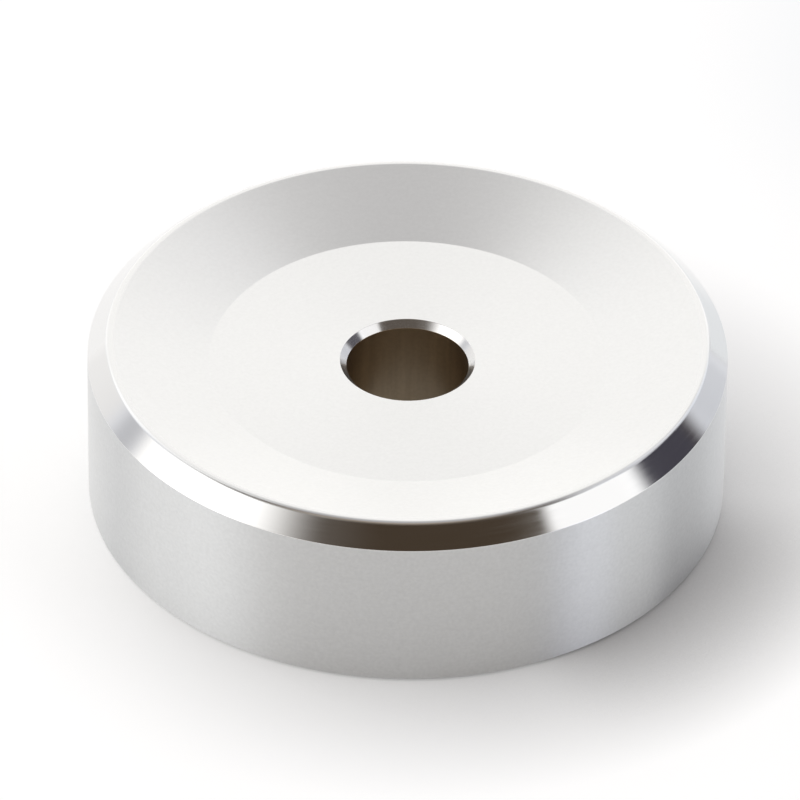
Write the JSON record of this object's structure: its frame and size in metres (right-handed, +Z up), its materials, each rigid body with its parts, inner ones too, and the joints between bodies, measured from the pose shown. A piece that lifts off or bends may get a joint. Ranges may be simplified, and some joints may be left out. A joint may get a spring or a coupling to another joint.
{
  "type": "record spindle adapter",
  "caption": "Turned metal puck with a dished top, bright rim cut and through bore; centres a large-hole single record on a turntable spindle.",
  "frame": {"origin": "centre of the flat base, on the bore's axis", "axes": "+Z up along the bore, from the base towards the dished top; the part is round, so X and Y are free"},
  "size_m": [0.038, 0.038, 0.0108],
  "materials": {
    "turned_aluminium": "fine satin turning on the dish, wall and base, with mirror-bright cut chamfers at the rim and the bore"
  },
  "bodies": {
    "root": {"adapter_body": "turned_aluminium"}
  },
  "joints": []
}
